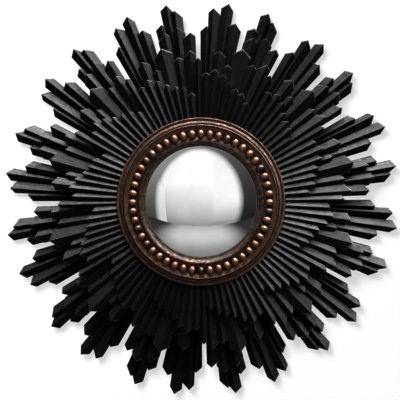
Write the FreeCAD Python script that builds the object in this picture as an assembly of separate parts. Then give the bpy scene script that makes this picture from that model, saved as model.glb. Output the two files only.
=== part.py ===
import FreeCAD, Part
import math
import os

# A sunburst convex mirror: layered black rays round a beaded ring and a domed glass.
# Millimetres. The wall is the plane Y = 0, the front faces -Y and +Z is up.
# Pieces are drawn with the mirror's axis along +Z and stood upright when they are saved, so here a
# height is a distance from the wall and an angle runs clockwise from the top, seen from the front.

# Rays: twelve like sectors of four tiers, the long ones at the wall
sector_count = 12
ray_length = 229.0  # of the longest ray
ray_edge = 2.2  # thickness of a ray along its side edges
ridge_slope = 0.024  # how far a ridge stands above its ray's edges, per mm of radius
back_slope = 0.04  # how far the long rays lean back to the wall, per mm of radius
ray_gap = 1.0  # between the core ring and the rays' inner ends
glue_line = 0.15

# Each ray: left edge, ridge and right edge in degrees, then its length and the drops to its left and right
# shoulder as shares of the longest ray
long_rays = [
    (-0.3, 1.75, 3.1, 0.817, 0.039, 0.020),
    (2.2, 3.65, 5.9, 0.956, 0.035, 0.048),
    (5.9, 8.0, 9.6, 1.000, 0.039, 0.052),
    (8.75, 11.0, 13.15, 0.860, 0.024, 0.050),
    (15.05, 17.2, 18.65, 0.860, 0.033, 0.028),
    (17.8, 19.9, 21.5, 1.000, 0.035, 0.061),
    (20.7, 22.0, 24.2, 0.948, 0.013, 0.055),
]
third_rays = [
    (14.9, 17.75, 19.45, 0.790, 0.057, 0.031),
    (20.4, 22.05, 24.6, 0.817, 0.024, 0.048),
    (23.5, 26.35, 28.0, 0.769, 0.048, 0.028),
]
second_rays = [
    (4.4, 7.0, 9.7, 0.633, 0.037, 0.041),
    (9.0, 11.2, 13.2, 0.537, 0.031, 0.028),
    (12.0, 15.4, 19.0, 0.681, 0.055, 0.048),
    (19.0, 21.0, 22.95, 0.590, 0.028, 0.022),
    (22.95, 25.8, 27.8, 0.633, 0.055, 0.031),
]
front_rays = [
    (0.3, 2.4, 4.1, 0.463, 0.022, 0.020),
    (4.1, 6.15, 7.95, 0.493, 0.031, 0.026),
    (7.95, 9.95, 11.5, 0.459, 0.026, 0.022),
    (11.5, 13.6, 15.1, 0.410, 0.028, 0.024),
    (15.1, 17.35, 18.95, 0.380, 0.033, 0.026),
    (18.95, 21.05, 23.0, 0.362, 0.028, 0.031),
    (23.0, 24.9, 27.2, 0.314, 0.028, 0.031),
    (27.2, 28.8, 30.3, 0.572, 0.026, 0.024),
]

# Each tier from the wall forwards, with the rays that are notched round a neighbour in front of them
tiers = [
    ("long_ray", long_rays, {2: [1], 3: [4], 6: [5, 7]}),
    ("third_ray", third_rays, {2: [3]}),
    ("second_ray", second_rays, {1: [2], 3: [2]}),
    ("front_ray", front_rays, {}),
]

# Wooden carcass
wall_gap = 6.0  # from the wall to the back of the board
board_radius = 190.0
hub_thickness = 10.0  # of the board where the rays start
tier_ring_width = 57.0
ply_thickness = 2.0
core_wall = 12.0
ledge_width = 12.0
cover_lap = 12.0
cover_thickness = 3.0
cover_clearance = 0.2

# Glass
sight_radius = 100.0
glass_lap = 7.0
glass_curve = 210.0
glass_thickness = 3.0
glass_drop = 0.5  # from the top of the core ring down to the glass edge
rim_clearance = 1.0
gasket_thickness = 1.0
gasket_inset = 0.6
cushion_thickness = 2.5
seat_clearance = 0.1

# Sight ring
sight_width = 7.0
sight_nose = 1.4
sight_crest_width = 1.5
sight_crest_fall = 0.8
flange_width = 4.0
flange_thickness = 2.0
slip_clearance = 0.2

# Frame moulding, from the sight ring outwards; rises are above the floor of the bead channel
floor_thickness = 6.0  # from the core ring to the floor of the bead channel
inner_crest_width = 1.8
inner_crest_rise = 4.6
inner_cove_width = 4.0
cove_width = 6.2
crest_width = 2.6
crest_rise = 4.8
crest_round = 1.2
quirk_width = 1.0
quirk_rise = 0.4
ovolo_width = 6.2
ovolo_rise = 1.6
groove_width = 0.8
lip_width = 2.8
lip_height = 2.6
lip_round = 1.0
groove_height = 1.2

# Beads, with few flat facets each
bead_count = 48
bead_radius = 6.7
bead_clearance = 1.0
bead_sides = 8
bead_latitudes = [-35, 5, 45, 72]

# Fasteners
frame_screw_count = 4
frame_screw_radius = 2.0
frame_head_radius = 3.8
frame_head_height = 2.2
frame_head_depth = 0.4
frame_screw_cover = 1.5  # moulding left over the screw's point
cover_screw_count = 4
cover_screw_radius = 1.5
cover_head_radius = 3.0
cover_head_height = 1.8
cover_screw_bite = 5.0
hanger_screw_radius = 1.6
hanger_head_radius = 3.2
hanger_head_height = 1.6
hanger_screw_bite = 6.0
hole_clearance = 0.1

# Hanger and pads on the back
wire_radius = 1.5
wire_clearance = 0.1
strap_thickness = 1.2
strap_width = 14.0
strap_length = 27.0
strap_hole_pitch = 10.0
strap_end_margin = 6.0
ring_half_width = 10.0
ring_height = 11.0
ring_corner = 5.0
bumper_count = 4
bumper_radius = 10.0
bumper_margin = 8.0

# Radii that follow
glass_radius = sight_radius + glass_lap
rim_radius = glass_radius + rim_clearance
core_radius = rim_radius + core_wall
core_inner = rim_radius - ledge_width
ray_start = core_radius + ray_gap
tier_ring_radius = ray_start + tier_ring_width
cover_radius = core_inner + cover_lap
sight_outer = sight_radius + sight_width
flange_radius = sight_outer + flange_width
moulding_inner = sight_outer + slip_clearance
channel_inner = moulding_inner + inner_crest_width + inner_cove_width
bead_circle = channel_inner + bead_clearance + bead_radius
channel_outer = bead_circle + bead_radius + bead_clearance
crest_inner = channel_outer + cove_width
crest_outer = crest_inner + crest_width
ovolo_inner = crest_outer + quirk_width
ovolo_outer = ovolo_inner + ovolo_width
lip_inner = ovolo_outer + groove_width
ring_radius = lip_inner + lip_width
frame_screw_circle = (rim_radius + core_radius) / 2
cover_screw_circle = (core_inner + cover_radius) / 2
bumper_circle = board_radius - bumper_margin - bumper_radius

# Heights that follow
board_top = wall_gap + hub_thickness
tier_step = ray_edge + ply_thickness + 2 * glue_line
first_base = board_top + glue_line + back_slope * ray_start
front_tier = len(tiers) - 1


def base_height(tier, radius):
    return first_base + tier * tier_step + (tier * ridge_slope - back_slope) * radius


def edge_height(tier, radius):
    return base_height(tier, radius) + ray_edge


def ridge_height(tier, radius):
    return edge_height(tier, radius) + ridge_slope * radius


def moulding_seat(radius):
    return ridge_height(front_tier, radius) + glue_line


core_top = moulding_seat(core_radius)
channel_floor = core_top + glue_line + floor_thickness
glass_edge = core_top - glass_drop
glass_centre = glass_edge - math.sqrt(glass_curve ** 2 - glass_radius ** 2)
glass_rear_curve = glass_curve - glass_thickness


def dome_height(curve, radius):
    return glass_centre + math.sqrt(curve ** 2 - radius ** 2)


ledge_height = dome_height(glass_rear_curve, glass_radius) - cushion_thickness
origin = FreeCAD.Vector(0, 0, 0)
mirror_axis = FreeCAD.Vector(0, 0, 1)


def save(name, solids):
    upright = Part.makeCompound(solids)
    upright.rotate(origin, FreeCAD.Vector(1, 0, 0), 90)
    upright.exportStep("parts/" + name + ".step")


def spot(angle, radius, height):
    turn = math.radians(angle)
    return FreeCAD.Vector(radius * math.sin(turn), radius * math.cos(turn), height)


def ring_of(shape, count, first_angle=0.0):
    copies = []
    for index in range(count):
        copy = shape.copy()
        copy.rotate(origin, mirror_axis, -(first_angle + index * 360.0 / count))
        copies.append(copy)
    return copies


def polyhedron(outlines):
    faces = [Part.Face(Part.makePolygon(outline + outline[:1])) for outline in outlines]
    shell = Part.makeShell(faces)
    shell.sewShape()
    solid = Part.makeSolid(shell)
    if solid.Volume < 0:
        solid.reverse()
    return solid


def turned(start, *steps):
    # Each step is a straight line to one point, or an arc through its first point to its second
    here = FreeCAD.Vector(start[0], 0, start[1])
    edges = []
    for step in steps + ([start],):
        points = [FreeCAD.Vector(radius, 0, height) for radius, height in step]
        if len(points) == 1:
            edges.append(Part.LineSegment(here, points[0]).toShape())
        else:
            edges.append(Part.Arc(here, points[0], points[1]).toShape())
        here = points[-1]
    return Part.Face(Part.Wire(edges)).revolve(origin, mirror_axis, 360)


def post(radius, bottom, top, circle=0.0, angle=0.0):
    return Part.makeCylinder(radius, top - bottom, spot(angle, circle, bottom), mirror_axis)


def share_across(left, middle, right):
    # How much further out than the middle line a straight line from edge to edge counts its radius
    span = math.sin(math.radians(right - left))
    return (math.sin(math.radians(right - middle)) + math.sin(math.radians(middle - left))) / span


def ray_ends(length, left_drop, right_drop):
    tip = ray_start + ray_length * length
    return tip - ray_length * left_drop, tip, tip - ray_length * right_drop


def ray(tier, left, ridge, right, *ends):
    # A wedge with two flat slopes that meet in a ridge, and a pointed end with upright walls
    spread = share_across(left, ridge, right)
    left_end, tip, right_end = ray_ends(*ends)
    ridge_start = ray_start / spread

    def low(angle, radius, counted):
        return spot(angle, radius, base_height(tier, counted))

    def edge(angle, radius):
        return spot(angle, radius, edge_height(tier, radius))

    def top(radius):
        return spot(ridge, radius, ridge_height(tier, radius))

    low_left = [low(left, ray_start, ray_start), low(left, left_end, left_end)]
    low_right = [low(right, ray_start, ray_start), low(right, right_end, right_end)]
    low_tip = low(ridge, tip, tip * spread)
    edge_left = [edge(left, ray_start), edge(left, left_end)]
    edge_right = [edge(right, ray_start), edge(right, right_end)]
    crest = [top(ridge_start), top(tip)]
    return polyhedron([
        [low_left[0], low_left[1], low_tip, low_right[1], low_right[0]],
        [edge_left[0], crest[0], crest[1], edge_left[1]],
        [crest[0], edge_right[0], edge_right[1], crest[1]],
        [low_left[0], edge_left[0], edge_left[1], low_left[1]],
        [low_right[0], low_right[1], edge_right[1], edge_right[0]],
        [low_left[1], edge_left[1], crest[1], low_tip],
        [low_tip, crest[1], edge_right[1], low_right[1]],
        [low_left[0], low_right[0], edge_right[0], crest[0], edge_left[0]],
    ])


def ray_shadow(left, ridge, right, *ends):
    # Everything in line with a ray, from the wall forwards
    left_end, tip, right_end = ray_ends(*ends)
    corners = [
        spot(left, core_radius, 0),
        spot(left, left_end, 0),
        spot(ridge, tip, 0),
        spot(right, right_end, 0),
        spot(right, core_radius, 0),
    ]
    outline = Part.Face(Part.makePolygon(corners + corners[:1]))
    return outline.extrude(mirror_axis * ridge_height(front_tier, tip))


def make_rays():
    for tier, (kind, rays, notches) in enumerate(tiers):
        for number, shape in enumerate(rays, start=1):
            solid = ray(tier, *shape)
            for neighbour in notches.get(number, []):
                solid = solid.cut(ray_shadow(*rays[neighbour - 1])).Solids[0]
            save(kind + "_" + str(number), ring_of(solid, sector_count))


def make_tier_rings():
    inner = ray_start
    outer = tier_ring_radius
    for tier, (kind, rays, notches) in enumerate(tiers[1:]):
        def under(radius):
            return ridge_height(tier, radius) + glue_line

        ring = turned(
            (inner, under(inner)),
            [(outer, under(outer))],
            [(outer, under(outer) + ply_thickness)],
            [(inner, under(inner) + ply_thickness)],
        )
        save(kind.replace("ray", "tier_ring"), [ring])


def frame_screw_holes(bottom, top):
    hole = post(frame_screw_radius + hole_clearance, bottom, top, frame_screw_circle)
    return ring_of(hole, frame_screw_count, 180.0 / frame_screw_count)


def make_board():
    recess = cover_thickness + cover_clearance
    recess_radius = cover_radius + cover_clearance
    board = turned(
        (core_inner, wall_gap + recess),
        [(recess_radius, wall_gap + recess)],
        [(recess_radius, wall_gap)],
        [(board_radius, wall_gap)],
        [(board_radius, base_height(0, board_radius) - glue_line)],
        [(ray_start, board_top)],
        [(core_inner, board_top)],
    )
    head_hole = post(
        frame_head_radius + hole_clearance,
        wall_gap,
        wall_gap + frame_head_depth + frame_head_height,
        frame_screw_circle,
    )
    cover_hole = post(
        cover_screw_radius + hole_clearance,
        wall_gap,
        wall_gap + recess + cover_screw_bite + hole_clearance,
        cover_screw_circle,
    )
    holes = frame_screw_holes(wall_gap, board_top)
    holes += ring_of(head_hole, frame_screw_count, 180.0 / frame_screw_count)
    holes += ring_of(cover_hole, cover_screw_count)
    for height in hanger_screw_heights():
        bite = wall_gap + hanger_screw_bite + hole_clearance
        holes.append(post(hanger_screw_radius + hole_clearance, wall_gap, bite, height))
    save("backing_board", [board.cut(holes)])


def make_core_ring():
    core = turned(
        (core_inner, board_top + glue_line),
        [(core_radius, board_top + glue_line)],
        [(core_radius, core_top)],
        [(rim_radius, core_top)],
        [(rim_radius, ledge_height)],
        [(core_inner, ledge_height)],
    )
    save("core_ring", [core.cut(frame_screw_holes(board_top, core_top))])


def make_moulding():
    # Seat on the core ring and the front rays, then lip, ovolo, fillet, cove, bead channel and inner cove
    seat = core_top + glue_line
    rabbet_radius = flange_radius + slip_clearance
    rabbet_top = seat + flange_thickness + slip_clearance
    foot = moulding_seat(ring_radius) + glue_line
    groove_top = foot + groove_height
    lip_top = foot + lip_height
    ovolo_top = channel_floor + ovolo_rise
    ovolo_swell = ((ovolo_inner + 2 * ovolo_outer) / 3, (groove_top + 3 * ovolo_top) / 4)
    crest_top = channel_floor + crest_rise
    cove_hollow = ((2 * channel_outer + crest_inner) / 3, (4 * channel_floor + crest_top) / 5)
    inner_crest_top = channel_floor + inner_crest_rise
    inner_crest = moulding_inner + inner_crest_width
    inner_hollow = ((inner_crest + 2 * channel_inner) / 3, (3 * channel_floor + inner_crest_top) / 4)
    moulding = turned(
        (rabbet_radius, seat),
        [(core_radius, seat)],
        [(ring_radius, foot)],
        [(ring_radius, lip_top - lip_round)],
        [(ring_radius - lip_round, lip_top)],
        [(lip_inner + lip_round / 2, lip_top)],
        [(lip_inner, groove_top)],
        [(ovolo_outer, groove_top)],
        [ovolo_swell, (ovolo_inner, ovolo_top)],
        [(ovolo_inner, channel_floor + quirk_rise)],
        [(crest_outer, channel_floor + quirk_rise)],
        [(crest_outer, crest_top - crest_round)],
        [(crest_outer - crest_width / 2, crest_top)],
        [(crest_inner, crest_top - crest_round)],
        [cove_hollow, (channel_outer, channel_floor)],
        [(channel_inner, channel_floor)],
        [inner_hollow, (inner_crest, inner_crest_top)],
        [(moulding_inner, inner_crest_top)],
        [(moulding_inner, rabbet_top)],
        [(rabbet_radius, rabbet_top)],
    )
    point = channel_floor - frame_screw_cover + hole_clearance
    save("frame_moulding", [moulding.cut(frame_screw_holes(core_top, point))])


def make_beads():
    rings = []
    seat_turn = math.radians(bead_latitudes[0])
    centre_height = channel_floor + seat_clearance - bead_radius * math.sin(seat_turn)
    centre = FreeCAD.Vector(0, bead_circle, centre_height)
    for latitude in bead_latitudes:
        turn = math.radians(latitude)
        rise = FreeCAD.Vector(0, 0, bead_radius * math.sin(turn))
        radius = bead_radius * math.cos(turn)
        corners = [spot((side + 0.5) * 360.0 / bead_sides, radius, 0) for side in range(bead_sides)]
        rings.append([centre + rise + corner for corner in corners])
    outlines = [rings[0], rings[-1]]
    for lower, upper in zip(rings, rings[1:]):
        for side in range(bead_sides):
            after = (side + 1) % bead_sides
            outlines.append([lower[side], lower[after], upper[after], upper[side]])
    save("beads", ring_of(polyhedron(outlines), bead_count))


def make_sight_ring():
    under = glass_curve + gasket_thickness
    inner_foot = dome_height(under, sight_radius)
    outer_foot_radius = glass_radius + rim_clearance / 2
    outer_foot = dome_height(under, outer_foot_radius)
    foot_bend = (sight_radius + outer_foot_radius) / 2
    crest = channel_floor + inner_crest_rise
    flange_bottom = core_top + glue_line
    flange_top = flange_bottom + flange_thickness
    ring = turned(
        (sight_radius, inner_foot),
        [(foot_bend, dome_height(under, foot_bend)), (outer_foot_radius, outer_foot)],
        [(outer_foot_radius, flange_bottom)],
        [(flange_radius, flange_bottom)],
        [(flange_radius, flange_top)],
        [(sight_outer, flange_top)],
        [(sight_outer, crest - sight_crest_fall)],
        [(sight_outer - sight_crest_width, crest)],
        [(sight_radius, inner_foot + sight_nose)],
    )
    save("sight_ring", [ring])


def make_glass():
    middle = glass_radius / 2
    rear_edge = dome_height(glass_rear_curve, glass_radius)
    glass = turned(
        (0, dome_height(glass_curve, 0)),
        [(middle, dome_height(glass_curve, middle)), (glass_radius, glass_edge)],
        [(glass_radius, rear_edge)],
        [(middle, dome_height(glass_rear_curve, middle)), (0, dome_height(glass_rear_curve, 0))],
    )
    save("mirror_glass", [glass])


def make_glass_seats():
    inner = sight_radius + gasket_inset
    outer = glass_radius - gasket_inset
    middle = (inner + outer) / 2
    low = glass_curve + seat_clearance
    high = glass_curve + gasket_thickness - seat_clearance
    gasket = turned(
        (inner, dome_height(low, inner)),
        [(middle, dome_height(low, middle)), (outer, dome_height(low, outer))],
        [(outer, dome_height(high, outer))],
        [(middle, dome_height(high, middle)), (inner, dome_height(high, inner))],
    )
    save("glass_gasket", [gasket])
    rear = glass_rear_curve - seat_clearance
    floor = ledge_height + seat_clearance
    cushion = turned(
        (inner, floor),
        [(outer, floor)],
        [(outer, dome_height(rear, outer))],
        [(middle, dome_height(rear, middle)), (inner, dome_height(rear, inner))],
    )
    save("glass_cushion", [cushion])


def screw(shank_radius, head_radius, head_bottom, head_top, point, circle):
    head = post(head_radius, head_bottom, head_top, circle)
    shank = post(shank_radius, head_bottom, point, circle)
    return head.fuse(shank).removeSplitter()


def make_rear_cover():
    cover_back = wall_gap + cover_clearance / 2
    cover_front = cover_back + cover_thickness
    cover = post(cover_radius, cover_back, cover_front)
    hole = post(cover_screw_radius + hole_clearance, cover_back, cover_front, cover_screw_circle)
    save("rear_cover", [cover.cut(ring_of(hole, cover_screw_count))])
    cover_screw = screw(
        cover_screw_radius,
        cover_head_radius,
        cover_back - cover_head_height,
        cover_back,
        cover_front + cover_screw_bite,
        cover_screw_circle,
    )
    save("cover_screws", ring_of(cover_screw, cover_screw_count))


def make_frame_screws():
    head_bottom = wall_gap + frame_head_depth
    frame_screw = screw(
        frame_screw_radius,
        frame_head_radius,
        head_bottom,
        head_bottom + frame_head_height,
        channel_floor - frame_screw_cover,
        frame_screw_circle,
    )
    save("frame_screws", ring_of(frame_screw, frame_screw_count, 180.0 / frame_screw_count))


def loop_radius():
    return wire_radius + wire_clearance + strap_thickness


def hinge_height():
    # The wire's axis, up the board: strap and ring stand midway from the frame screws to the board's edge
    screws_edge = frame_screw_circle + frame_head_radius
    return (screws_edge + board_radius + strap_length - ring_height) / 2


def hinge_standoff():
    return wall_gap - glue_line - loop_radius()


def hanger_screw_heights():
    lowest = hinge_height() - strap_length + strap_end_margin
    return [lowest, lowest + strap_hole_pitch]


def make_hanger():
    plate_back = wall_gap - glue_line - strap_thickness
    plate = Part.makeBox(
        strap_width,
        strap_length,
        strap_thickness,
        FreeCAD.Vector(-strap_width / 2, hinge_height() - strap_length, plate_back),
    )
    loop_end = FreeCAD.Vector(-strap_width / 2, hinge_height(), hinge_standoff())
    along = FreeCAD.Vector(1, 0, 0)
    loop = Part.makeCylinder(loop_radius(), strap_width, loop_end, along)
    eye = Part.makeCylinder(wire_radius + wire_clearance, strap_width, loop_end, along)
    strap = plate.fuse(loop).cut(eye)
    for height in hanger_screw_heights():
        strap = strap.cut(post(hanger_screw_radius + hole_clearance, 0, wall_gap, height))
    save("hanger_strap", [strap.removeSplitter()])
    screws = []
    for height in hanger_screw_heights():
        screws.append(screw(
            hanger_screw_radius,
            hanger_head_radius,
            plate_back - hanger_head_height,
            plate_back,
            wall_gap + hanger_screw_bite,
            height,
        ))
    save("hanger_screws", screws)


def make_hanger_ring():
    # A wire bent to a flat bar in the strap's loop and a cornered bow above it
    level = hinge_standoff()
    bow = ring_half_width - ring_corner
    outline = [
        (0, 0),
        (ring_half_width, 0),
        (ring_half_width, ring_height - ring_corner),
        (bow, ring_height),
        (-bow, ring_height),
        (-ring_half_width, ring_height - ring_corner),
        (-ring_half_width, 0),
    ]
    points = [FreeCAD.Vector(x, hinge_height() + up, level) for x, up in outline]
    path = Part.makePolygon(points + points[:1])
    section = Part.Wire(Part.makeCircle(wire_radius, points[0], FreeCAD.Vector(1, 0, 0)))
    save("hanger_ring", [path.makePipeShell([section], True, False, 1)])


def make_bumpers():
    bumper = post(bumper_radius, 0, wall_gap - glue_line, bumper_circle)
    save("wall_bumpers", ring_of(bumper, bumper_count, 180.0 / bumper_count))


os.makedirs("parts", exist_ok=True)
make_rays()
make_tier_rings()
make_board()
make_core_ring()
make_moulding()
make_beads()
make_sight_ring()
make_glass()
make_glass_seats()
make_rear_cover()
make_frame_screws()
make_hanger()
make_hanger_ring()
make_bumpers()
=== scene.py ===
import math
import random

import bpy
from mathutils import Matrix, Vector


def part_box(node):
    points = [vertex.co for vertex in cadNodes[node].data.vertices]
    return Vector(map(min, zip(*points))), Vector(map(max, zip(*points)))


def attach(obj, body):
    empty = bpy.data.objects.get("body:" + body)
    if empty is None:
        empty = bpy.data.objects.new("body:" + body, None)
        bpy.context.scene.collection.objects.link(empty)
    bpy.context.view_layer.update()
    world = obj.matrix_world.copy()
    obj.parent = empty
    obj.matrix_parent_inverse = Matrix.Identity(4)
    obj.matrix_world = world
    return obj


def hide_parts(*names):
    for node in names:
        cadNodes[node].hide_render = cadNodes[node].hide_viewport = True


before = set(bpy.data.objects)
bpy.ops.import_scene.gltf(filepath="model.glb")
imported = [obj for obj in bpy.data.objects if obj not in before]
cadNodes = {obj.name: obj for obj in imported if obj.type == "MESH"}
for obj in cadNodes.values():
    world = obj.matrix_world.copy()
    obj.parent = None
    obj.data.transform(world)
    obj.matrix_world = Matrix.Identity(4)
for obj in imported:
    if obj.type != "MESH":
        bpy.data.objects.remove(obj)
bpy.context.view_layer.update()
mm = 0.001
mergeGap = 0.02 * mm  # points closer than this become one
ontoWall = (math.pi / 2, 0, 0)  # turns what lies on the floor to lie on the wall
quarters = (0, 90, 180, 270)  # degrees clockwise from the top
diagonals = (45, 135, 225, 315)
print("frame loaded:", len(cadNodes), "nodes")


# Small helpers for picking, editing and finishing a piece
def clearSelection():
    if bpy.context.mode != "OBJECT":
        bpy.ops.object.mode_set(mode="OBJECT")
    bpy.ops.object.select_all(action="DESELECT")


def pickOnly(piece):
    clearSelection()
    piece.select_set(True)
    bpy.context.view_layer.objects.active = piece


def editAll(piece):
    pickOnly(piece)
    bpy.ops.object.mode_set(mode="EDIT")
    bpy.ops.mesh.select_mode(type="VERT")
    bpy.ops.mesh.select_all(action="SELECT")


def editOnly(piece, kind, wanted):
    # into edit mode with only the wanted faces or edges picked
    pickOnly(piece)
    bpy.ops.object.mode_set(mode="EDIT")
    bpy.ops.mesh.select_mode(type=kind)
    bpy.ops.mesh.select_all(action="DESELECT")
    bpy.ops.object.mode_set(mode="OBJECT")
    for part in piece.data.polygons if kind == "FACE" else piece.data.edges:
        part.select = wanted(part)
    bpy.ops.object.mode_set(mode="EDIT")


def looksBack(face, squarely=0.99):
    return face.normal.y > squarely


def looksFront(face, squarely=0.99):
    return face.normal.y < -squarely


def settle(piece):
    # place, turn and size go into the mesh
    pickOnly(piece)
    bpy.ops.object.transform_apply(location=True, rotation=True, scale=True)


def finishWith(piece, kind, **settings):
    pickOnly(piece)
    modifier = piece.modifiers.new(kind.lower(), kind)
    for name, value in settings.items():
        setattr(modifier, name, value)
    bpy.ops.object.modifier_apply(modifier=modifier.name)


def roundCorners(piece, width, sharp=0.6):
    # rounds every edge that bends by more than sharp, in radians
    finishWith(piece, "BEVEL", width=width, segments=2, limit_method="ANGLE", angle_limit=sharp)


def cutOut(piece, cutter):
    finishWith(piece, "BOOLEAN", operation="DIFFERENCE", object=cutter)
    bpy.data.objects.remove(cutter)


def smooth(piece, angle):
    pickOnly(piece)
    bpy.ops.object.shade_smooth_by_angle(angle=math.radians(angle))


def joinAll(pieces, name):
    clearSelection()
    for piece in pieces:
        piece.select_set(True)
    bpy.context.view_layer.objects.active = pieces[0]
    bpy.ops.object.join()
    joined = bpy.context.object
    joined.name = name
    return joined


def ownCopy(piece, name):
    copy = piece.copy()
    copy.data = piece.data.copy()
    copy.name = name
    bpy.context.scene.collection.objects.link(copy)
    return copy


def markPoints(piece, name, values):
    # one number for each vertex, read by the piece's material
    attribute = piece.data.attributes.new(name, "FLOAT", "POINT")
    attribute.data.foreach_set("value", values)


def markAll(piece, name, value):
    markPoints(piece, name, [value] * len(piece.data.vertices))


def spotAt(angle, radius, height):
    # angle clockwise from the top, height out from the wall
    turn = math.radians(angle)
    return Vector((radius * math.sin(turn), -height, radius * math.cos(turn)))


def addDisc(name, sides, radius, depth, place):
    # a round blank that lies on the wall
    clearSelection()
    bpy.ops.mesh.primitive_cylinder_add(
        vertices=sides, radius=radius, depth=depth, location=place, rotation=ontoWall
    )
    disc = bpy.context.object
    disc.name = name
    settle(disc)
    return disc


def cadCopy(nodeName, name, flatWithin=0.5):
    # a copy of a CAD node with its points merged and the triangles of each flat face made one
    piece = bpy.data.objects.new(name, cadNodes[nodeName].data.copy())
    bpy.context.scene.collection.objects.link(piece)
    piece.data.materials.clear()
    editAll(piece)
    bpy.ops.mesh.customdata_custom_splitnormals_clear()
    bpy.ops.mesh.remove_doubles(threshold=mergeGap)
    bpy.ops.mesh.dissolve_limited(angle_limit=math.radians(flatWithin))
    bpy.ops.object.mode_set(mode="OBJECT")
    return piece


def arcThrough(start, middle, end, steps):
    # points on the arc from start to end, without start
    (ax, ay), (bx, by), (cx, cy) = start, middle, end
    a, b, c = ax**2 + ay**2, bx**2 + by**2, cx**2 + cy**2
    d = 2 * (ax * (by - cy) + bx * (cy - ay) + cx * (ay - by))
    ux = (a * (by - cy) + b * (cy - ay) + c * (ay - by)) / d
    uy = (a * (cx - bx) + b * (ax - cx) + c * (bx - ax)) / d
    radius = math.hypot(ax - ux, ay - uy)
    first = math.atan2(ay - uy, ax - ux)
    sweep = (math.atan2(cy - uy, cx - ux) - first + math.pi) % (2 * math.pi) - math.pi
    turns = [first + sweep * step / steps for step in range(1, steps + 1)]
    return [(ux + radius * math.cos(turn), uy + radius * math.sin(turn)) for turn in turns]


def turnRing(name, profile, steps):
    # a circle extruded and scaled along a closed profile of (radius, height) and bridged shut
    clearSelection()
    radius, height = profile[0]
    bpy.ops.mesh.primitive_circle_add(
        vertices=steps, radius=radius, location=(0, -height, 0), rotation=ontoWall
    )
    piece = bpy.context.object
    piece.name = name
    settle(piece)
    editAll(piece)
    for nextRadius, nextHeight in profile[1:]:
        bpy.ops.mesh.extrude_region_move(TRANSFORM_OT_translate={"value": (0, height - nextHeight, 0)})
        grow = nextRadius / radius
        bpy.ops.transform.resize(value=(grow, 1, grow), center_override=(0, -nextHeight, 0))
        radius, height = nextRadius, nextHeight
    bpy.ops.mesh.select_all(action="DESELECT")
    bpy.ops.mesh.select_mode(type="EDGE")
    bpy.ops.mesh.select_non_manifold()
    bpy.ops.mesh.bridge_edge_loops()
    bpy.ops.mesh.select_all(action="SELECT")
    bpy.ops.mesh.normals_make_consistent(inside=False)
    bpy.ops.object.mode_set(mode="OBJECT")
    return piece


def paint(piece, *materials):
    piece.data.materials.clear()
    for material in materials:
        piece.data.materials.append(material)


def dress(piece, body, replaced):
    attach(piece, body)
    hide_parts(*replaced)


# Materials
def linear(hexCode):
    channels = [int(hexCode[start:start + 2], 16) / 255 for start in (1, 3, 5)]
    return [c / 12.92 if c <= 0.04045 else ((c + 0.055) / 1.055) ** 2.4 for c in channels] + [1.0]


def setInputs(tree, node, inputs):
    # a socket is linked, anything else is set as it stands
    for name, value in inputs.items():
        if isinstance(value, bpy.types.NodeSocket):
            tree.links.new(value, node.inputs[name])
        else:
            node.inputs[name].default_value = value


def addNode(tree, kind, inputs, out=0, stops=(), **settings):
    # one node with its settings and links, stops are the places and colours of a ramp
    node = tree.nodes.new("ShaderNode" + kind)
    for name, value in settings.items():
        setattr(node, name, value)
    setInputs(tree, node, inputs)
    for index, (place, colour) in enumerate(stops):
        elements = node.color_ramp.elements
        element = elements[index] if index < 2 else elements.new(place)
        element.position = place
        element.color = linear(colour)
    return node.outputs[out]


def startMaterial(name):
    material = bpy.data.materials.new(name)
    material.use_nodes = True
    tree = material.node_tree
    place = addNode(tree, "TexCoord", {}, "Object")
    return material, tree, tree.nodes["Principled BSDF"], place


def alongRays(tree, place, meanRadius=0.25):
    # (arc at the mean radius, distance from the middle, depth), so that grain runs out along every ray
    parts = addNode(tree, "SeparateXYZ", {"Vector": place}).node.outputs
    angle = addNode(tree, "Math", {0: parts["X"], 1: parts["Z"]}, operation="ARCTAN2")
    arc = addNode(tree, "Math", {0: angle, 1: meanRadius}, operation="MULTIPLY")
    flat = addNode(tree, "VectorMath", {0: place, 1: (1, 0, 1)}, operation="MULTIPLY")
    radius = addNode(tree, "VectorMath", {0: flat}, "Value", operation="LENGTH")
    return addNode(tree, "CombineXYZ", {"X": arc, "Y": radius, "Z": parts["Y"]})


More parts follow.
